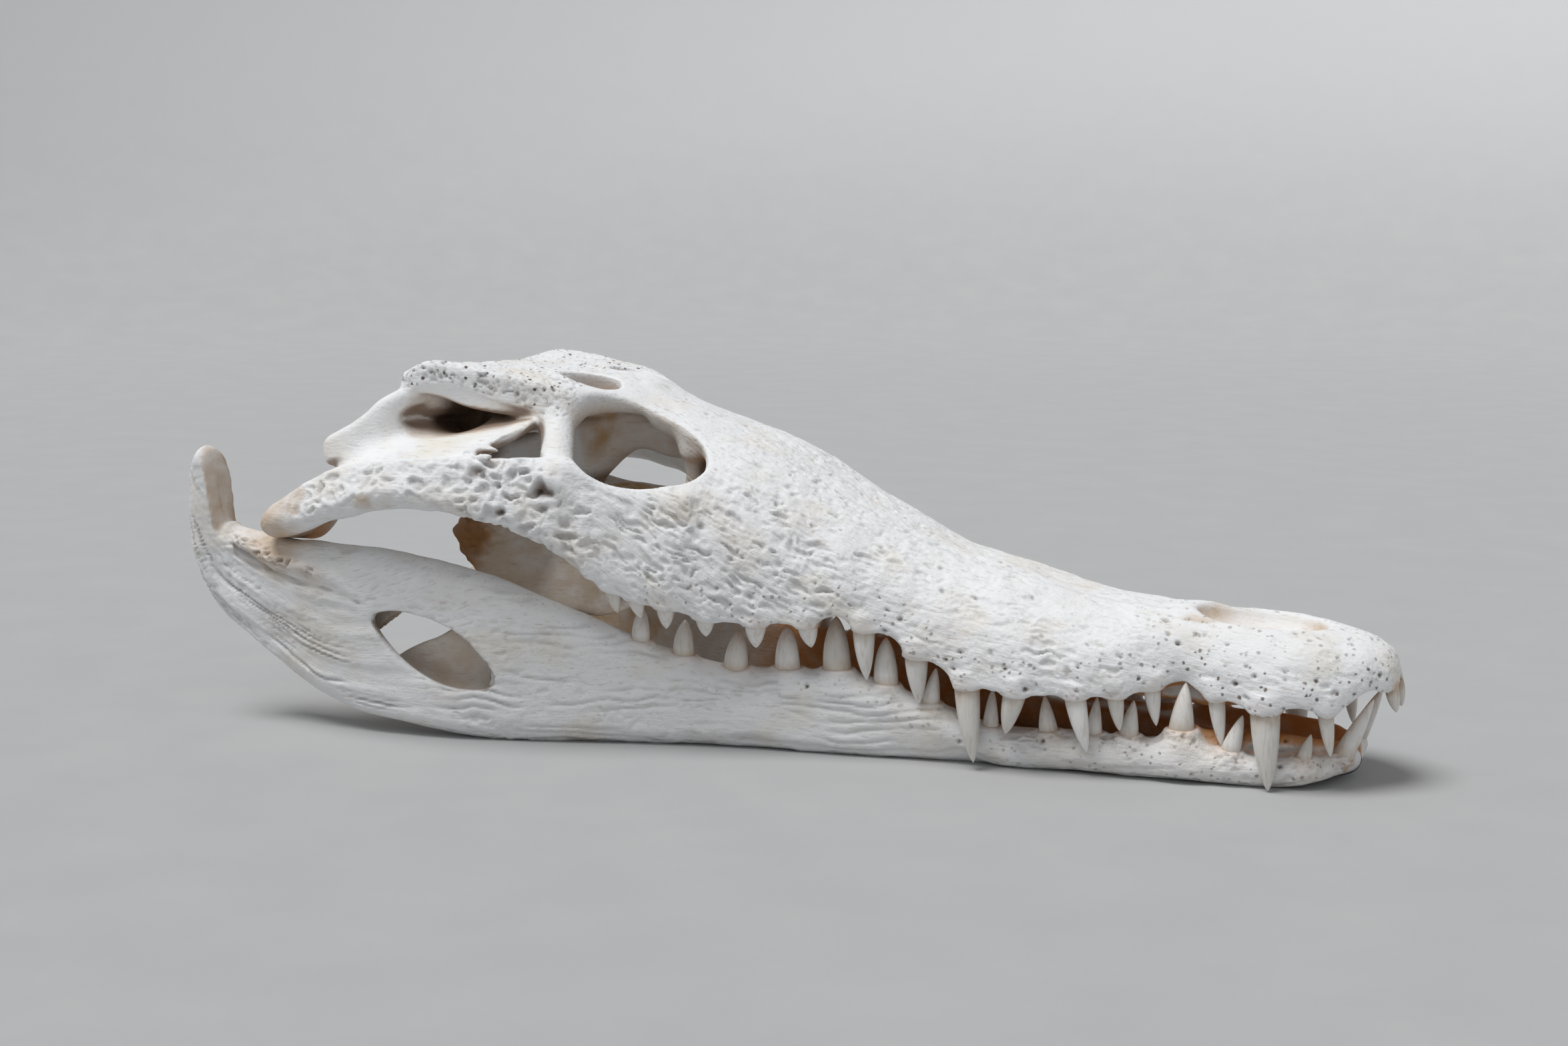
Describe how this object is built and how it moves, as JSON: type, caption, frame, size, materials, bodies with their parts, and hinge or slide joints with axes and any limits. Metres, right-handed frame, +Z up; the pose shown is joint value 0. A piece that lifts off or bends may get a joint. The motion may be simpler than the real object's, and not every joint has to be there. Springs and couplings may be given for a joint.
{
  "type": "crocodile skull",
  "caption": "Dry, bleached crocodile skull with its lower jaw, long tapering snout and interlocking teeth, lying flat as a display piece.",
  "frame": {"origin": "middle of the bounding box on the surface the lower jaw lies on", "axes": "+X towards the snout tip, +Y towards the animal's left, +Z up"},
  "size_m": [0.534, 0.2184, 0.1646],
  "materials": {
    "bone": "dry bleached bone, matte, with ivory teeth and tan stains in the hollows"
  },
  "bodies": {
    "root": {"snout": "bone", "cranium": "bone", "quadrate_right": "bone", "quadrate_left": "bone", "jugal_right": "bone", "jugal_left": "bone", "pterygoid_right": "bone", "pterygoid_left": "bone", "dentary_right": "bone", "dentary_left": "bone", "surangular_right": "bone", "surangular_left": "bone", "angular_right": "bone", "angular_left": "bone", "articular_right": "bone", "articular_left": "bone"}
  },
  "joints": []
}
